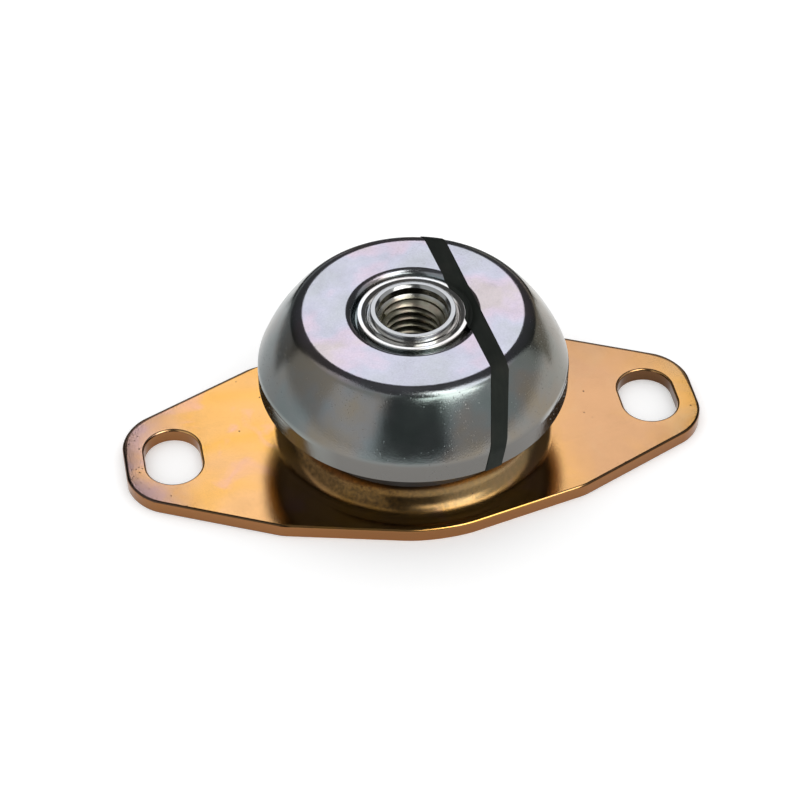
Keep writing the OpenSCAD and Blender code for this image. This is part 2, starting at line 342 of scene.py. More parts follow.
def clear_zinc_tints_and_shade(tree, place, at, high):
    """The dome's colours: the passivation's tints, in a lighter copy on the flat top above a height and a
    darker copy on the side, which is painted shade; on the side, painted shade darker to the left and a
    painted warm reflection to the right; on the straight band, painted shade greyer in front and painted
    highlights paler at both ends."""
    # The tints of the passivation drift over about 12 mm
    tint = add(tree, "ShaderNodeTexNoise", {"Vector": place, "Scale": per(12.5), "Detail": 3})
    top = add(tree, "ShaderNodeValToRGB", {"Fac": tint}, [
        (0.36, "#a6a9ae"), (0.47, "#acadb8"), (0.56, "#b8adb8"), (0.66, "#b3aaa9")])
    # Painted shade: the side takes a darker copy of the top's colours
    side = add(tree, "ShaderNodeValToRGB", {"Fac": tint}, [
        (0.36, "#768280"), (0.47, "#7d8585"), (0.56, "#85837f"), (0.66, "#8a8172")])
    # Painted shade darker towards the left of the side, and a painted warm reflection towards the right
    left = add(tree, "ShaderNodeMapRange", {
        "Value": at.outputs["X"], "From Min": -17 * MM, "From Max": -29 * MM, "To Max": 0.8})
    right = add(tree, "ShaderNodeMapRange", {
        "Value": at.outputs["X"], "From Min": 12 * MM, "From Max": DOME_R * MM, "To Max": 0.7})
    # Painted shade on the straight band, greyer in front, with painted highlights paler at both ends
    across = add(tree, "ShaderNodeMapRange", {
        "Value": at.outputs["X"], "From Min": -DOME_R * MM, "From Max": DOME_R * MM})
    band = add(tree, "ShaderNodeValToRGB", {"Fac": across}, [
        (0.05, "#959b97"), (0.19, "#74726e"), (0.83, "#74726e"), (0.88, "#cacecf")])
    straight = add(tree, "ShaderNodeMapRange", {
        "Value": at.outputs["Z"],
        "From Min": (BAND_TOP[1] + 0.9) * MM, "From Max": (BAND_TOP[1] - 0.3) * MM})
    colour = side
    for share, shade in ((left, linear("#505656")), (right, linear("#7d7362")), (straight, band),
                         (high, top)):
        colour = add(tree, "ShaderNodeMix", {"Factor": share, "A": colour, "B": shade}, data_type="RGBA")
    return colour


def clear_zinc_plated_steel(tree, place):
    """Deep-drawn steel, bright zinc plated and clear passivated: a silver grey with faint blue and pink
    tints on the flat top, painted shade that makes the side greyer, darker to the left, with a painted warm
    reflection to the right, painted shade greyer still on the straight band in front with painted highlights
    paler at both ends, a satin gloss, and a fine grain and dust specks that break up the edges of
    reflections."""
    at = add(tree, "ShaderNodeSeparateXYZ", {"Vector": place})
    high = add(tree, "ShaderNodeMapRange", {
        "Value": at.outputs["Z"], "From Min": (FLAT_Z - 0.9) * MM, "From Max": (FLAT_Z - 0.1) * MM})
    colour = clear_zinc_tints_and_shade(tree, place, at, high)
    # The plating's grain is a few hundredths of a millimetre wide, too fine to show: drawn 0.345 mm wide
    grain = add(tree, "ShaderNodeTexNoise", {
        "Vector": place, "Scale": per(0.345), "Detail": 4, "Roughness": 0.7})
    dull = add(tree, "ShaderNodeMapRange", {
        "Value": grain, "From Min": 0.35, "From Max": 0.65, "To Max": 0.16})
    colour = add(tree, "ShaderNodeMix", {"Factor": dull, "A": colour, "B": linear("#75787e")},
                 data_type="RGBA")
    # Dust gathers in drifts about 9 mm wide. Its specks are under 0.1 mm wide, too fine to show: drawn
    # in cells 0.435 mm wide, on the side only
    drift = add(tree, "ShaderNodeTexNoise", {"Vector": place, "Scale": per(9.09), "Detail": 2})
    share = add(tree, "ShaderNodeMapRange", {
        "Value": drift, "From Min": 0.46, "From Max": 0.66, "To Min": 0.01, "To Max": 0.45})
    on_side = add(tree, "ShaderNodeMath", {0: 1.0, 1: high}, operation="SUBTRACT")
    specks = add(tree, "ShaderNodeMath", {
        0: dots(tree, place, 0.435, share, 0.32, 0.1), 1: on_side}, operation="MULTIPLY")
    height = add(tree, "ShaderNodeMath", {0: specks, 1: 1.2, 2: grain}, operation="MULTIPLY_ADD")
    bump = add(tree, "ShaderNodeBump", {"Height": height, "Strength": 0.22, "Distance": 0.06 * MM})
    # The gloss drifts over about 5 mm
    cloud = add(tree, "ShaderNodeTexNoise", {"Vector": place, "Scale": per(5), "Detail": 4})
    gloss = add(tree, "ShaderNodeMapRange", {
        "Value": cloud, "From Min": 0.3, "From Max": 0.7, "To Min": 0.12, "To Max": 0.20})
    gloss = add(tree, "ShaderNodeMath", {0: specks, 1: 0.45, 2: gloss}, operation="MULTIPLY_ADD")
    return add(tree, "ShaderNodeBsdfPrincipled", {
        "Base Color": colour, "Metallic": 1.0, "Roughness": gloss, "Normal": bump})


def yellow_film(tree, place, at, right):
    """The passivation's film: gold with rosy patches, deeper gold, tan and pale patches to the right,
    rusty behind there, and lilac where it ran thin at the left end."""
    # The film's thickness drifts over about 22 mm, with patches about 13 mm wide
    film = add(tree, "ShaderNodeTexNoise", {
        "Vector": place, "Scale": per(22.2), "Detail": 3, "Distortion": 0.6})
    patch = add(tree, "ShaderNodeTexNoise", {
        "Vector": place, "Scale": per(13.33), "Detail": 4, "Distortion": 1.2})
    rosy = add(tree, "ShaderNodeMapRange", {
        "Value": patch, "From Min": 0.56, "From Max": 0.70, "To Max": 0.6})
    not_end = add(tree, "ShaderNodeMapRange", {
        "Value": at.outputs["X"], "From Min": 56 * MM, "From Max": 47 * MM})
    uneven = add(tree, "ShaderNodeMapRange", {
        "Value": film, "From Min": 0.36, "From Max": 0.56, "To Min": 0.4, "To Max": 0.9})
    tan = add(tree, "ShaderNodeMath", {0: right, 1: not_end}, operation="MULTIPLY")
    tan = add(tree, "ShaderNodeMath", {0: tan, 1: uneven}, operation="MULTIPLY")
    pale = add(tree, "ShaderNodeMapRange", {
        "Value": patch, "From Min": 0.56, "From Max": 0.34, "To Max": 0.4})
    pale = add(tree, "ShaderNodeMath", {0: right, 1: pale}, operation="MULTIPLY")
    behind = add(tree, "ShaderNodeMapRange", {
        "Value": at.outputs["Y"], "From Min": 3 * MM, "From Max": 16 * MM, "To Max": 0.55})
    rusty = add(tree, "ShaderNodeMath", {0: right, 1: behind}, operation="MULTIPLY")
    left = add(tree, "ShaderNodeMapRange", {
        "Value": at.outputs["X"], "From Min": -43 * MM, "From Max": -54 * MM})
    ragged = add(tree, "ShaderNodeMapRange", {
        "Value": patch, "From Min": 0.30, "From Max": 0.60, "To Min": 0.35})
    lilac = add(tree, "ShaderNodeMath", {0: left, 1: ragged}, operation="MULTIPLY")
    colour = add(tree, "ShaderNodeValToRGB", {"Fac": film}, [
        (0.36, "#cfa16c"), (0.46, "#d2a15d"), (0.55, "#d39f50"), (0.66, "#cda06a")])
    for share, shade in ((rosy, "#cc9c94"), (right, "#c39450"), (tan, "#b58c68"), (pale, "#b79a74"),
                         (rusty, "#a27c60"), (lilac, "#b29491")):
        colour = add(tree, "ShaderNodeMix", {"Factor": share, "A": colour, "B": linear(shade)},
                     data_type="RGBA")
    return colour


def shaded_seat(tree, place, at, drawn, film):
    """The drawn seat's colours over the film: painted shade under the dome, darker to the left and broken up
    by fine scuffs, and a nearly black painted shadow just under the dome's rim, beside the rubber."""
    # Painted shade on the drawn seat under the dome: dark, and darker towards the left
    shift = add(tree, "ShaderNodeMapRange", {
        "Value": at.outputs["X"], "From Min": -8 * MM, "From Max": 8 * MM})
    seat_shade_colour = add(tree, "ShaderNodeMix", {
        "Factor": shift, "A": linear("#483822"), "B": linear("#8f7a57")}, data_type="RGBA")
    # Fine scuffs break up the painted shade; they are about 0.1 mm wide, too fine to show: drawn 0.77 mm
    # wide
    scuffs = add(tree, "ShaderNodeTexNoise", {
        "Vector": place, "Scale": per(0.77), "Detail": 4, "Roughness": 0.7})
    seat_shade_share = add(tree, "ShaderNodeMapRange", {
        "Value": scuffs, "From Min": 0.36, "From Max": 0.62, "To Min": 1.0, "To Max": 0.82})
    seat_shade_share = add(tree, "ShaderNodeMath", {0: drawn, 1: seat_shade_share}, operation="MULTIPLY")
    # Painted shadow: nearly black just under the dome's rim, beside the rubber
    rim_shadow = add(tree, "ShaderNodeMapRange", {
        "Value": at.outputs["Z"],
        "From Min": (RUBBER_FOOT_Z - 1.6) * MM, "From Max": (RUBBER_FOOT_Z - 0.6) * MM})
    colour = add(tree, "ShaderNodeMix", {"Factor": seat_shade_share, "A": film, "B": seat_shade_colour}, data_type="RGBA")
    return add(tree, "ShaderNodeMix", {"Factor": rim_shadow, "A": colour, "B": linear("#1b1916")},
               data_type="RGBA")


def past_outline(tree, place):
    """How far a point stands past the plate's ends and slanting sides, below zero within them."""
    flank = Vector((CORNER_Y - END_HALF_W, PLATE_HALF_LEN - CORNER_X, 0)).normalized()
    flank_reach = flank.dot(spot(PLATE_HALF_LEN, 0, END_HALF_W))
    blend = 8.5 * MM
    spread = add(tree, "ShaderNodeVectorMath", {0: place}, operation="ABSOLUTE")
    past = []
    for outward, reach in (((1, 0, 0), PLATE_HALF_LEN * MM), (flank, flank_reach)):
        out = add(tree, "ShaderNodeVectorMath", {0: spread, 1: outward}, operation="DOT_PRODUCT")
        past.append(add(tree, "ShaderNodeMath", {0: out, 1: reach}, operation="SUBTRACT"))
    return add(tree, "ShaderNodeMath", {0: past[0], 1: past[1], 2: blend}, operation="SMOOTH_MAX")


def sheared_edges(tree, place, at, right, surface):
    """The sheared edges' colours over the surface: a nearly black line of painted shade along the outline's
    top edge, wider behind, and a brown face below it, with painted shade inside the right slot."""
    past = past_outline(tree, place)
    # Painted shade: a nearly black line along the outline's top edge, wider behind
    width = add(tree, "ShaderNodeMapRange", {
        "Value": at.outputs["Y"], "From Min": -8 * MM, "From Max": 4 * MM,
        "To Min": 0.4 * MM, "To Max": 0.8 * MM})
    within_line = add(tree, "ShaderNodeMath", {0: past, 1: width}, operation="ADD")
    line = add(tree, "ShaderNodeMapRange", {
        "Value": within_line, "From Min": -0.08 * MM, "From Max": 0.08 * MM, "To Max": 0.9})
    facing = add(tree, "ShaderNodeTexCoord").outputs["Normal"]
    level = add(tree, "ShaderNodeSeparateXYZ", {"Vector": facing}).outputs["Z"]
    level = add(tree, "ShaderNodeMath", {0: level}, operation="ABSOLUTE")
    upright = add(tree, "ShaderNodeMapRange", {"Value": level, "From Min": 0.55, "From Max": 0.30})
    low = add(tree, "ShaderNodeMapRange", {
        "Value": at.outputs["Z"], "From Min": (PLATE_T + 0.6) * MM, "From Max": (PLATE_T + 0.1) * MM})
    sheared = add(tree, "ShaderNodeMath", {0: upright, 1: low}, operation="MULTIPLY")
    # Painted shade on the sheared wall inside the right slot
    inner = add(tree, "ShaderNodeMapRange", {"Value": past, "From Min": -3.0 * MM, "From Max": -3.8 * MM})
    inner = add(tree, "ShaderNodeMath", {0: right, 1: inner}, operation="MULTIPLY")
    wall = add(tree, "ShaderNodeMix", {
        "Factor": inner, "A": linear("#956741"), "B": linear("#684a33")}, data_type="RGBA")
    colour = add(tree, "ShaderNodeMix", {"Factor": line, "A": surface, "B": linear("#30251b")},
                 data_type="RGBA")
    return add(tree, "ShaderNodeMix", {"Factor": sheared, "A": colour, "B": wall}, data_type="RGBA")


def yellow_zinc_plated_steel(tree, place):
    """Pressed steel, zinc plated and yellow passivated: a gold film whose thickness shifts it to rosy, tan
    and pale patches, deeper to the right and rusty behind there, lilac where it ran thin at the left end,
    a nearly black line of painted shade along the outline's sharp top edge, brown on the sheared face below
    it with painted shade inside the right slot, painted shade and a duller gloss on the drawn seat under the
    dome, a nearly black painted shadow just under the dome's rim beside the rubber, with fine dark pits
    where the bath left bare spots at the left end."""
    at = add(tree, "ShaderNodeSeparateXYZ", {"Vector": place})
    right = add(tree, "ShaderNodeMapRange", {
        "Value": at.outputs["X"], "From Min": 16 * MM, "From Max": 34 * MM})
    drawn = add(tree, "ShaderNodeMapRange", {
        "Value": at.outputs["Z"], "From Min": (PLATE_T + 0.1) * MM, "From Max": (PLATE_T + 1.0) * MM})
    colour = yellow_film(tree, place, at, right)
    # Painted shade on the seat under the dome, and a painted shadow under its rim
    colour = shaded_seat(tree, place, at, drawn, colour)
    # Painted shade along the outline's top edge and inside the right slot
    colour = sheared_edges(tree, place, at, right, colour)
    # The plating's grain is a few hundredths of a millimetre wide, too fine to show: drawn 0.4 mm wide
    grain = add(tree, "ShaderNodeTexNoise", {
        "Vector": place, "Scale": per(0.4), "Detail": 4, "Roughness": 0.7})
    dull = add(tree, "ShaderNodeMapRange", {
        "Value": grain, "From Min": 0.35, "From Max": 0.65, "To Max": 0.12})
    # The pits are about 0.1 mm wide, too fine to show: drawn in cells 0.667 mm wide
    share = add(tree, "ShaderNodeMapRange", {
        "Value": at.outputs["X"], "From Min": -51.5 * MM, "From Max": -56.5 * MM,
        "To Min": 0.005, "To Max": 0.32})
    pits = dots(tree, place, 0.667, share, 0.32, 0.14)
    for part, shade in ((dull, "#9a7146"), (pits, "#5a4436")):
        colour = add(tree, "ShaderNodeMix", {"Factor": part, "A": colour, "B": linear(shade)},
                     data_type="RGBA")
    height = add(tree, "ShaderNodeMath", {0: grain, 1: pits}, operation="SUBTRACT")
    bump = add(tree, "ShaderNodeBump", {"Height": height, "Strength": 0.20, "Distance": 0.06 * MM})
    # The gloss drifts over about 6 mm
    cloud = add(tree, "ShaderNodeTexNoise", {"Vector": place, "Scale": per(5.88), "Detail": 4})
    gloss = add(tree, "ShaderNodeMapRange", {
        "Value": cloud, "From Min": 0.3, "From Max": 0.7, "To Min": 0.10, "To Max": 0.16})
    gloss = add(tree, "ShaderNodeMath", {0: drawn, 1: 0.10, 2: gloss}, operation="MULTIPLY_ADD")
    return add(tree, "ShaderNodeBsdfPrincipled", {
        "Base Color": colour, "Metallic": 1.0, "Roughness": gloss, "Normal": bump})


def zinc_plated_turned_steel(tree, place):
    """Turned free-cutting steel, zinc plated: bright on the staked lip, with fine turning rings, greyer on
    the rim that screwed-down feet rub, and olive and duller in the bore, where oil and thin plating darken
    it."""
    at = add(tree, "ShaderNodeSeparateXYZ", {"Vector": place})
    flat = add(tree, "ShaderNodeCombineXYZ", {"X": at.outputs["X"], "Y": at.outputs["Y"]})
    radius = add(tree, "ShaderNodeVectorMath", {0: flat}, operation="LENGTH").outputs["Value"]
    # The plating's tints drift over about 6 mm and the oil's patches over about 2 mm
    cloud = add(tree, "ShaderNodeTexNoise", {"Vector": place, "Scale": per(5.88), "Detail": 3})
    bright = add(tree, "ShaderNodeValToRGB", {"Fac": cloud}, [
        (0.40, "#cdd1d4"), (0.5, "#d2d2cf"), (0.60, "#cfccc8")])
    rubbed = add(tree, "ShaderNodeMapRange", {
        "Value": radius, "From Min": (RIM_OUT_R + 0.35) * MM, "From Max": (RIM_OUT_R + 0.05) * MM})
    bright = add(tree, "ShaderNodeMix", {"Factor": rubbed, "A": bright, "B": linear("#a6a8a8")},
                 data_type="RGBA")
    oil = add(tree, "ShaderNodeTexNoise", {"Vector": place, "Scale": per(2.22), "Detail": 4})
    oily = add(tree, "ShaderNodeValToRGB", {"Fac": oil}, [
        (0.38, "#8a8876"), (0.52, "#9d9a8b"), (0.64, "#998e81")])
    within = add(tree, "ShaderNodeMapRange", {
        "Value": radius, "From Min": (MOUTH_R + 0.2) * MM, "From Max": (MOUTH_R - 0.5) * MM})
    deep = add(tree, "ShaderNodeMapRange", {
        "Value": at.outputs["Z"], "From Min": (RIM_TOP_Z - 0.2) * MM, "From Max": (RIM_TOP_Z - 2.7) * MM})
    in_bore = add(tree, "ShaderNodeMath", {0: within, 1: deep}, operation="MULTIPLY")
    colour = add(tree, "ShaderNodeMix", {"Factor": in_bore, "A": bright, "B": oily}, data_type="RGBA")
    gloss = add(tree, "ShaderNodeMapRange", {"Value": in_bore, "To Min": 0.15, "To Max": 0.28})
    # The turning rings are about 0.1 mm apart and the grain finer still: drawn 0.2 mm and 0.303 mm wide
    turned = add(tree, "ShaderNodeMath", {0: radius, 1: per(0.2)}, operation="MULTIPLY")
    rings = add(tree, "ShaderNodeTexNoise", {"W": turned, "Scale": 1.0, "Detail": 2}, noise_dimensions="1D")
    grain = add(tree, "ShaderNodeTexNoise", {
        "Vector": place, "Scale": per(0.303), "Detail": 3, "Roughness": 0.7})
    height = add(tree, "ShaderNodeMath", {0: rings, 1: grain}, operation="ADD")
    bump = add(tree, "ShaderNodeBump", {"Height": height, "Strength": 0.14, "Distance": 0.04 * MM})
    return add(tree, "ShaderNodeBsdfPrincipled", {
        "Base Color": colour, "Metallic": 1.0, "Roughness": gloss, "Normal": bump})


def zinc_plated_stamped_steel(tree, place):
    """Stamped steel washer, zinc plated: duller than the pressings, with coarse patches."""
    # The tints drift over about 8 mm and the wear over about 2 mm
    cloud = add(tree, "ShaderNodeTexNoise", {"Vector": place, "Scale": per(8), "Detail": 4})
    colour = add(tree, "ShaderNodeValToRGB", {"Fac": cloud}, [
        (0.38, "#9ea1a3"), (0.5, "#a8a9ac"), (0.62, "#a6a29b")])
    wear = add(tree, "ShaderNodeTexNoise", {"Vector": place, "Scale": per(2), "Detail": 4})
    gloss = add(tree, "ShaderNodeMapRange", {
        "Value": wear, "From Min": 0.3, "From Max": 0.7, "To Min": 0.22, "To Max": 0.34})
    # The plating's grain is a few hundredths of a millimetre wide, too fine to show: drawn 0.5 mm wide
    grain = add(tree, "ShaderNodeTexNoise", {
        "Vector": place, "Scale": per(0.5), "Detail": 4, "Roughness": 0.7})
    bump = add(tree, "ShaderNodeBump", {"Height": grain, "Strength": 0.15, "Distance": 0.08 * MM})
    return add(tree, "ShaderNodeBsdfPrincipled", {
        "Base Color": colour, "Metallic": 1.0, "Roughness": gloss, "Normal": bump})


def black_natural_rubber(tree, place):
    """Moulded natural rubber, carbon black filled: near black and matte, with a faint grey bloom and the
    fine grain of the mould."""
    # The bloom drifts over about 6 mm
    bloom = add(tree, "ShaderNodeTexNoise", {"Vector": place, "Scale": per(5.88), "Detail": 4})
    colour = add(tree, "ShaderNodeValToRGB", {"Fac": bloom}, [
        (0.4, "#19191a"), (0.55, "#1f1f20"), (0.68, "#292928")])
    gloss = add(tree, "ShaderNodeMapRange", {
        "Value": bloom, "From Min": 0.4, "From Max": 0.7, "To Min": 0.52, "To Max": 0.70})
    # The mould's blasted grain is about 0.1 mm wide, too fine to show: drawn 0.4 mm wide
    grain = add(tree, "ShaderNodeTexNoise", {
        "Vector": place, "Scale": per(0.4), "Detail": 4, "Roughness": 0.7})
    bump = add(tree, "ShaderNodeBump", {"Height": grain, "Strength": 0.25, "Distance": 0.08 * MM})
    return add(tree, "ShaderNodeBsdfPrincipled", {"Base Color": colour, "Roughness": gloss, "Normal": bump})


def matte_green_black_paint(tree, place):
    """Air-drying paint brushed on as the rubber's hardness mark: matte, dark green black, slightly
    streaked along the stroke."""
    # A brush leaves streaks about 0.3 mm wide, too fine to show: drawn 0.8 mm wide and drawn out along
    # the stroke; the paint's tint drifts over about 7 mm
    along = add(tree, "ShaderNodeMapping", {"Vector": place, "Scale": (1.0, 0.12, 0.3)})
    streak = add(tree, "ShaderNodeTexNoise", {"Vector": along, "Scale": per(0.8), "Detail": 3})
    cloud = add(tree, "ShaderNodeTexNoise", {"Vector": place, "Scale": per(7.14), "Detail": 3})
    colour = add(tree, "ShaderNodeValToRGB", {"Fac": cloud}, [
        (0.40, "#101812"), (0.52, "#161c16"), (0.64, "#1b1e18")])
    thin = add(tree, "ShaderNodeMapRange", {
        "Value": streak, "From Min": 0.4, "From Max": 0.7, "To Max": 0.25})
    colour = add(tree, "ShaderNodeMix", {"Factor": thin, "A": colour, "B": linear("#242a22")},
                 data_type="RGBA")
    bump = add(tree, "ShaderNodeBump", {"Height": streak, "Strength": 0.15, "Distance": 0.05 * MM})
    return add(tree, "ShaderNodeBsdfPrincipled", {
        "Base Color": colour, "Roughness": 0.6, "Specular IOR Level": 0.2, "Normal": bump})


def pale_floor_paint(tree, place):
    """Plain pale matt floor, lifted a little towards white where it is seen, directly or in metal."""
    # The paint's tint drifts over about 59 mm
    cloud = add(tree, "ShaderNodeTexNoise", {"Vector": place, "Scale": per(58.8), "Detail": 2})
    colour = add(tree, "ShaderNodeValToRGB", {"Fac": cloud}, [(0.3, "#f8f8f8"), (0.7, "#fafafa")])
    rays = add(tree, "ShaderNodeLightPath").outputs
    seen = add(tree, "ShaderNodeMath", {0: rays["Is Camera Ray"], 1: rays["Is Glossy Ray"]},
               operation="MAXIMUM")
    seen = add(tree, "ShaderNodeMath", {0: seen, 1: rays["Is Transmission Ray"]}, operation="MAXIMUM")
    lift = add(tree, "ShaderNodeMath", {0: seen, 1: 0.20}, operation="MULTIPLY")
    return add(tree, "ShaderNodeBsdfPrincipled", {
        "Base Color": colour, "Roughness": 0.9, "Specular IOR Level": 0.0,
        "Emission Color": (1, 1, 1, 1), "Emission Strength": lift})


# ---- the mount's pieces

def make_dome(material):
    """The pressed dome: band, bulged side, flat top and dish, with a parallel inner face."""
    corners = [
        (DOME_R, RIM_Z, 0.25), (*BAND_TOP, BAND_ROUND), (*SIDE_TOP, SIDE_ROUND),
        (DISH_R, FLAT_Z, DISH_ROUND), (DISH_FLOOR_R, DISH_Z, 0.2), (NECK_R, DISH_Z, 0),
        (NECK_R, COLLAR_Z, 0), (DISH_BACK_FLOOR_R, COLLAR_Z, 0), (DISH_BACK_R, DOME_UNDER_Z, 0),
        (*SIDE_TOP_INSIDE, SIDE_ROUND_INSIDE), (*BAND_TOP_INSIDE, BAND_ROUND_INSIDE),
        (DOME_R - DOME_T, RIM_Z, 0.25)]
    return turned_piece("pressed_dome", corners, material, "dome_cap", SIDES, 8)


def make_bush(material):
    """The turned bush, staked over the dome's dish and swaged under the washer, with its M12 thread."""
    bm = bmesh.new()
    mouth_z = RIM_TOP_Z - MOUTH_DEPTH
    corners = [
        (THREAD_ROOT_R, BUSH_FOOT_Z, 0), (SWAGE_R, BUSH_FOOT_Z, 0.6), (SWAGE_R, WASHER_Z, 0),
        (SPIGOT_R, WASHER_Z, 0), (SPIGOT_R, WASHER_TOP_Z, 0), (BUSH_R, WASHER_TOP_Z, 0.2),
        (BUSH_R, COLLAR_Z - COLLAR_T, 0.6), (COLLAR_R, COLLAR_Z - COLLAR_T, 0.3), (COLLAR_R, COLLAR_Z, 0),
        (NECK_R, COLLAR_Z, 0), (NECK_R, DISH_Z, 0), (LIP_OUT_R, DISH_Z, 0), (LIP_OUT_R, LIP_Z, 0.15),
        (LIP_BEND_R, LIP_Z, 1.0), (LIP_IN_R, LIP_Z - LIP_FALL, 0.2), (GROOVE_R, GROOVE_Z, 0.15),
        (RIM_OUT_R, RIM_TOP_Z, 0.15), (MOUTH_R + MOUTH_CHAMFER, RIM_TOP_Z, 0.15),
        (MOUTH_R, RIM_TOP_Z - MOUTH_CHAMFER, 0.15), (MOUTH_R, mouth_z, 0.1),
        (THREAD_ROOT_R, mouth_z - (MOUTH_R - THREAD_ROOT_R), 0.05)]
    profile(bm, corners, segments=5)
    spin_round(bm)
    join(bm, thread_ridge(BUSH_FOOT_Z + 0.05, mouth_z - (MOUTH_R - THREAD_MAJOR_R)))
    return piece_from(bm, "staked_bush", material, "centre_bush", sharp_deg=35)


def thread_ridge(foot_z, top_z):
    """The ridge of the M12 thread, turned up the bore in one helical spin; it fades out at both ends. Its
    foot stands a little inside the bore's wall, so that no gap shows between them."""
    foot_r = THREAD_ROOT_R + 0.02
    depth = foot_r - THREAD_CREST_R
    foot_half, crest_half = 0.44 * THREAD_PITCH, 0.14 * THREAD_PITCH
    low, high = foot_z + foot_half, top_z - foot_half
    turns = (high - low) / THREAD_PITCH
    bm = bmesh.new()
    ridge = [bm.verts.new(spot(r, z)) for r, z in (
        (foot_r, low - foot_half), (foot_r, low + foot_half),
        (THREAD_CREST_R, low + crest_half), (THREAD_CREST_R, low - crest_half))]
    face = bm.faces.new(ridge)
    steps = round(turns * THREAD_STEPS)
    bmesh.ops.spin(bm, geom=[face], cent=(0, 0, 0), axis=(0, 0, 1), dvec=spot(0, (high - low) / steps),
                   angle=FULL_TURN * turns, steps=steps, use_merge=False)
    for vert in bm.verts:
        radius = math.hypot(vert.co.x, vert.co.y) / MM
        if radius < THREAD_CREST_R + 0.1:
            z = vert.co.z / MM
            from_end = min(z - low + crest_half, high + crest_half - z)
            faded = foot_r - min(depth, max(from_end, 0.0))
            vert.co.x *= faded / radius
            vert.co.y *= faded / radius
    return bm


def make_rubber(material):
    """The bonded rubber ring, with the lining of the seat's hole and the rebound pad."""
    under_seat_z = SEAT_Z - PLATE_T
    corners = [
        (SEAT_WALL_R, RUBBER_FOOT_Z, 0), (SEAT_WALL_R, SEAT_Z, SEAT_ROUND), (SEAT_HOLE_R, SEAT_Z, 0),
        (SEAT_HOLE_R, under_seat_z, 0), (PAD_R, under_seat_z, 0), (PAD_R, PAD_Z, 1.0),
        (PASSAGE_R, PAD_Z, 1.0), (PASSAGE_R, PASSAGE_TOP_Z, 3.0), (HOLLOW_R, HOLLOW_Z, 3.0),
        (HOLLOW_R, DOME_UNDER_Z, 0), (*SIDE_TOP_INSIDE, SIDE_ROUND_INSIDE),
        (*BAND_TOP_INSIDE, BAND_ROUND_INSIDE), (DOME_R - DOME_T, RIM_Z + RUBBER_SETBACK, 0),
        (SEAT_WALL_R + RUBBER_NECK, RUBBER_NECK_Z, 3.0),
        (SEAT_WALL_R + RUBBER_LAP_T, RUBBER_FOOT_Z + 0.3, 0.3)]
    return turned_piece("bonded_rubber", corners, material, "rubber_body", SIDES[1:])


def make_washer(material):
    """The stamped rebound washer."""
    corners = [(SPIGOT_R, WASHER_Z, 0), (WASHER_R, WASHER_Z, 0.3), (WASHER_R, WASHER_TOP_Z, 0.3),
               (SPIGOT_R, WASHER_TOP_Z, 0)]
    return turned_piece("rebound_washer_ring", corners, material, "rebound_washer")


def plate_outline(bm, z):
    """The plate's outline at a height, as a rounded closed wire."""
    half = [(PLATE_HALF_LEN, END_HALF_W, END_CORNER_R, 16), (CORNER_X, CORNER_Y, CORNER_R, 4),
            (0.0, WAIST_Y, WAIST_R, 16), (-CORNER_X, CORNER_Y, CORNER_R, 4),
            (-PLATE_HALF_LEN, END_HALF_W, END_CORNER_R, 16)]
    corners = half + [(x, -y, r, n) for x, y, r, n in reversed(half)]
    verts = [bm.verts.new(spot(x, z, y)) for x, y, _, _ in corners]
    for i, vert in enumerate(verts):
        bm.edges.new((vert, verts[(i + 1) % len(verts)]))
    for x, y, radius, segments in corners:
        round_corner(bm, spot(x, z, y), radius, segments)


def slot_outline(bm, x, z):
    """One slot at a height, as a closed wire: a circle drawn apart along Y."""
    sides = 64
    place = Matrix.Translation(spot(x, z)) @ Matrix.Rotation(math.pi / sides, 4, "Z")
    made = bmesh.ops.create_circle(bm, cap_ends=False, radius=SLOT_W / 2 * MM, segments=sides, matrix=place)
    for vert in made["verts"]:
        vert.co.y += math.copysign((SLOT_LEN - SLOT_W) / 2 * MM, vert.co.y)


def at_height(edge, z):
    """Whether an edge lies level at a height."""
    return all(abs(vert.co.z - z * MM) < 1e-7 for vert in edge.verts)


def stamped_edges(bm, z):
    """The sharp edges round the outline and the slots at a height."""
    sharp = 1.2
    return [e for e in bm.edges
            if at_height(e, z) and len(e.link_faces) == 2 and e.calc_face_angle() > sharp]


def make_plate(material):
    """The pressed base plate: raised seat, flat flange, slots and stamped edges."""
    bm = bmesh.new()
    t = PLATE_T
    seat = [(SEAT_RING_R, t, 0), (SEAT_WALL_R, t, SEAT_FOOT_R), (SEAT_WALL_R, SEAT_Z, SEAT_ROUND),
            (SEAT_HOLE_R, SEAT_Z, 0.15), (SEAT_HOLE_R, SEAT_Z - t, 0.15),
            (SEAT_WALL_R - t, SEAT_Z - t, SEAT_ROUND - t), (SEAT_WALL_R - t, 0, SEAT_FOOT_R + t),
            (SEAT_RING_R, 0, 0)]
    profile(bm, seat, closed=False, segments=12)
    spin_round(bm)
    plate_outline(bm, t)
    slot_outline(bm, -SLOT_X, t)
    slot_outline(bm, SLOT_X, t)
    walls = bmesh.ops.extrude_edge_only(bm, edges=[e for e in bm.edges if e.is_wire])["geom"]
    bmesh.ops.translate(bm, verts=[v for v in walls if isinstance(v, bmesh.types.BMVert)], vec=spot(0, -t))
    for z in (t, 0):
        loops = [e for e in bm.edges if e.is_boundary and at_height(e, z)]
        bmesh.ops.triangle_fill(bm, use_beauty=True, use_dissolve=False, edges=loops)
    bmesh.ops.recalc_face_normals(bm, faces=bm.faces[:])
    for z, rounding in ((t, TOP_EDGE_ROUND), (0, LOW_EDGE_ROUND)):
        bmesh.ops.bevel(bm, geom=stamped_edges(bm, z), offset=rounding * MM, offset_type="OFFSET",
                        segments=4, profile=0.5, affect="EDGES", material=-1)
    return piece_from(bm, "pressed_plate", material, "base_plate", sharp_deg=50)


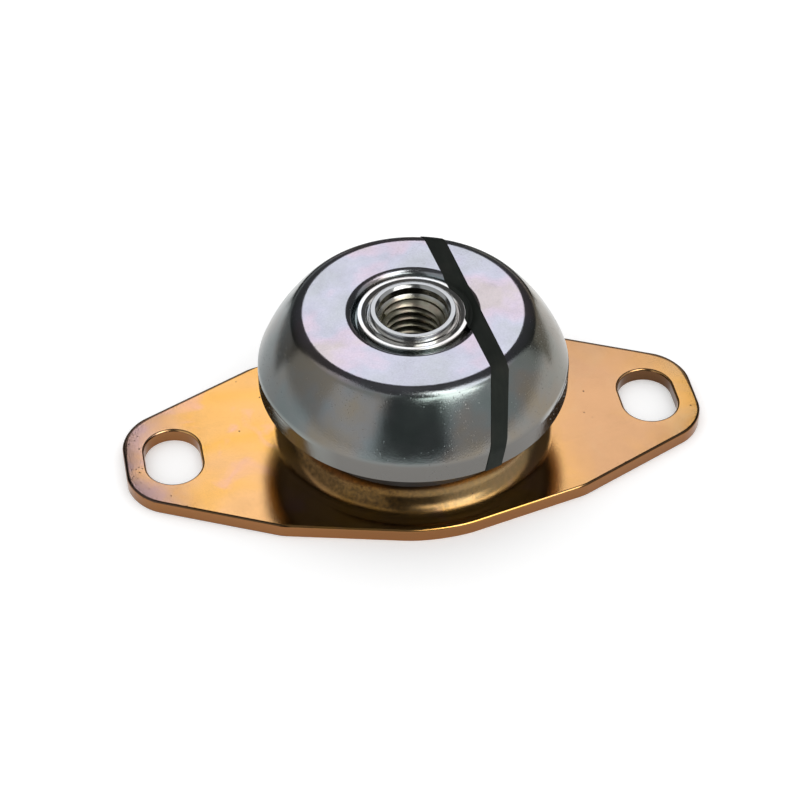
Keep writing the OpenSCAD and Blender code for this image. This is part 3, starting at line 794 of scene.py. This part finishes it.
def cut_beside(bm, first, second, keep):
    """Cuts the mesh by the upright plane through two points in plan and keeps the given side."""
    a, b = spot(first[0], 0, first[1]), spot(second[0], 0, second[1])
    normal = (b - a).cross(Vector((0, 0, 1))).normalized() * keep
    bmesh.ops.bisect_plane(bm, geom=bm.verts[:] + bm.edges[:] + bm.faces[:], dist=1e-8, plane_co=a,
                           plane_no=normal, clear_inner=True)


def stripe_line(side):
    """Three points of one edge of the stripe in plan: behind, at the flat top's front corner, in front."""
    corner_y = -math.sqrt(SIDE_TOP[0] ** 2 - STRIPE_X ** 2)
    back_y, front_y = DOME_R + 2, -DOME_R - 2
    behind, at_corner, in_front = [side * width / 2 for width in STRIPE_WIDTHS]
    return [(STRIPE_X - (back_y - corner_y) * math.tan(STRIPE_LEAN) + behind, back_y),
            (STRIPE_X + at_corner, corner_y),
            (STRIPE_X + (front_y - corner_y) * math.tan(STRIPE_FRONT_LEAN) + in_front, front_y)]


def painted_skin(first_point, second_point):
    """The paint's outer face over the whole dome, cut to the stretch between two points of the stripe."""
    bm = bmesh.new()
    p = PAINT_T
    gap_z = DISH_Z + 1.0
    band_top, side_top = (DOME_R + p, BAND_TOP[1] + 0.02), (SIDE_TOP[0] + 0.05, FLAT_Z + p)
    corners = [(DOME_R + p, RIM_Z + 0.02, 0), (*band_top, BAND_ROUND + 0.1), (*side_top, SIDE_ROUND + 0.1),
               (DISH_R, FLAT_Z + p, DISH_ROUND), (DISH_FLOOR_R + 0.25, gap_z, 0.3), (LIP_OUT_R, gap_z, 0),
               (LIP_OUT_R, LIP_Z + p, 0.3), (LIP_BEND_R, LIP_Z + p, 0)]
    profile(bm, corners, closed=False, bulges=[(band_top, side_top, SIDE_BULGE)], segments=8)
    spin_round(bm, PAINT_STEPS)
    left, right = stripe_line(-1), stripe_line(1)
    i, j = first_point, second_point
    cut_beside(bm, left[i], left[j], -1)
    cut_beside(bm, right[i], right[j], 1)
    return bm


def make_stripe(material):
    """The painted stripe: a thin skin over the dome in two stretches, each cut by the two upright planes
    of its edges, which meet at the flat top's front corner; low on the dome's front it leans aside."""
    corner_y = stripe_line(1)[1][1]
    across = (-DOME_R, corner_y), (DOME_R, corner_y)
    bm = painted_skin(0, 1)
    cut_beside(bm, *across, -1)
    front = painted_skin(1, 2)
    cut_beside(front, *across, 1)
    join(bm, front)
    for vert in [v for v in bm.verts if v.co.z < STRIPE_HOOK_Z * MM]:
        radius = math.hypot(vert.co.x, vert.co.y)
        vert.co.x += (vert.co.z - STRIPE_HOOK_Z * MM) * math.tan(STRIPE_HOOK_LEAN)
        vert.co.y = math.copysign(math.sqrt(radius ** 2 - vert.co.x ** 2), vert.co.y)
    bmesh.ops.remove_doubles(bm, verts=bm.verts[:], dist=1e-5)
    bmesh.ops.dissolve_degenerate(bm, edges=bm.edges[:], dist=1e-5)
    bmesh.ops.recalc_face_normals(bm, faces=bm.faces[:])
    bmesh.ops.solidify(bm, geom=bm.faces[:], thickness=PAINT_T * 0.98 * MM)
    return piece_from(bm, "painted_stripe", material, "colour_stripe")


# ---- floor, light and camera

def make_floor(material):
    """A plain pale floor, wide enough to fill the view."""
    bm = bmesh.new()
    bmesh.ops.create_grid(bm, x_segments=1, y_segments=1, size=6.0)
    floor = object_from(bm, "floor", material)


def glow(name, brightness, tint):
    """The plain emission of a softbox or card."""
    material = blank_material(name)
    lamp = add(material.node_tree, "ShaderNodeEmission", {"Color": linear(tint), "Strength": brightness})
    add(material.node_tree, "ShaderNodeOutputMaterial", {"Surface": lamp})
    return material


def card(name, across, up, brightness, distance, tint="#ffffff"):
    """A curved softbox, flag or wall outside the picture, which only the gloss shows: its span in degrees
    to the right of the camera's bearing, seen from the mount, its span above the horizon in degrees, its
    brightness, its distance in metres and its tint."""
    bm = bmesh.new()
    bm.verts.new((distance, 0, 0))
    bmesh.ops.rotate(bm, verts=bm.verts[:], matrix=Matrix.Rotation(math.radians(-up[0]), 3, "Y"))
    for axis, span, steps in (((0, -1, 0), up[1] - up[0], 10), ((0, 0, 1), across[1] - across[0], 36)):
        bmesh.ops.spin(bm, geom=bm.verts[:] + bm.edges[:], cent=(0, 0, 0), axis=axis,
                       angle=math.radians(span), steps=steps, use_merge=False)
    bmesh.ops.rotate(bm, verts=bm.verts[:],
                     matrix=Matrix.Rotation(math.radians(CAMERA_BEARING + across[0]), 3, "Z"))
    bmesh.ops.translate(bm, verts=bm.verts[:], vec=spot(0, CARDS_Z))
    made = object_from(bm, name, glow(name + "_glow", brightness, tint))
    made.visible_camera = False
    made.visible_diffuse = False
    made.visible_shadow = False
    made.visible_transmission = False


def light_the_set():
    """Even white light for the floor, and the room that the plated steel mirrors; nearer cards cover
    the ones behind them, and three low flags stand on the floor round the back of the mount."""
    world = bpy.data.worlds.new("white_room")
    world.use_nodes = True
    world.node_tree.nodes["Background"].inputs["Color"].default_value = (1, 1, 1, 1)
    world.node_tree.nodes["Background"].inputs["Strength"].default_value = 1.0
    bpy.context.scene.world = world
    card("ceiling", (0, 360), (50, 90), 0.10, 1.8)
    card("left_wall", (-112, -22), (-12, 66), 0.62, 1.6)
    card("right_wall", (22, 112), (-12, 54), 0.60, 1.6)
    card("back_wall", (112, 250), (-12, 66), 0.07, 1.6)
    card("front_flag", (-24, 24), (-12, 56), 0.11, 1.5)
    card("left_low_flag", (-168, -108), (-9, 8), 0.34, 0.165)
    card("right_low_flag", (112, 168), (-9, 8), 0.40, 0.165, "#fff6e6")
    card("back_low_flag", (140, 220), (-13, 3), 0.06, 0.105)
    card("back_softbox", (165, 193), (34, 52), 1.80, 1.2, "#fafaff")
    card("front_fill", (-68, -28), (2, 36), 0.95, 1.3, "#f4f8ff")
    card("front_top_softbox", (6, 31), (40, 53), 3.4, 1.2, "#fffdf8")
    card("key_softbox", (28, 62), (34, 80), 4.6, 1.1, "#fffdf8")
    card("side_softbox", (62, 92), (52, 72), 2.6, 1.1)


def place_camera():
    """The camera, fitted to the photo's edges."""
    elevation, azimuth, roll = [math.radians(a) for a in (CAMERA_ELEVATION, CAMERA_AZIMUTH, CAMERA_ROLL)]
    away = Vector((math.sin(azimuth) * math.cos(elevation), -math.cos(azimuth) * math.cos(elevation),
                   math.sin(elevation)))
    right = (-away).cross(Vector((0, 0, 1))).normalized()
    up = right.cross(-away)
    right, up = (math.cos(roll) * right + math.sin(roll) * up, -math.sin(roll) * right + math.cos(roll) * up)
    place = (spot(0, CAMERA_AIM_Z)
             - CAMERA_LEFT * MM * right - CAMERA_DOWN * MM * up + CAMERA_AWAY * MM * away)
    data = bpy.data.cameras.new("camera")
    data.sensor_width = SENSOR_WIDTH
    data.lens = LENS
    camera = bpy.data.objects.new("camera", data)
    bpy.context.scene.collection.objects.link(camera)
    turn = Matrix((right, up, away)).transposed().to_4x4()
    camera.matrix_world = Matrix.Translation(place) @ turn
    bpy.context.scene.camera = camera


place_camera()
make_dome(made_of(clear_zinc_plated_steel))
make_bush(made_of(zinc_plated_turned_steel))
make_rubber(made_of(black_natural_rubber))
make_washer(made_of(zinc_plated_stamped_steel))
make_plate(made_of(yellow_zinc_plated_steel))
make_stripe(made_of(matte_green_black_paint))
make_floor(made_of(pale_floor_paint))
light_the_set()

bpy.context.scene.view_settings.view_transform = "Standard"

bpy.context.view_layer.update()
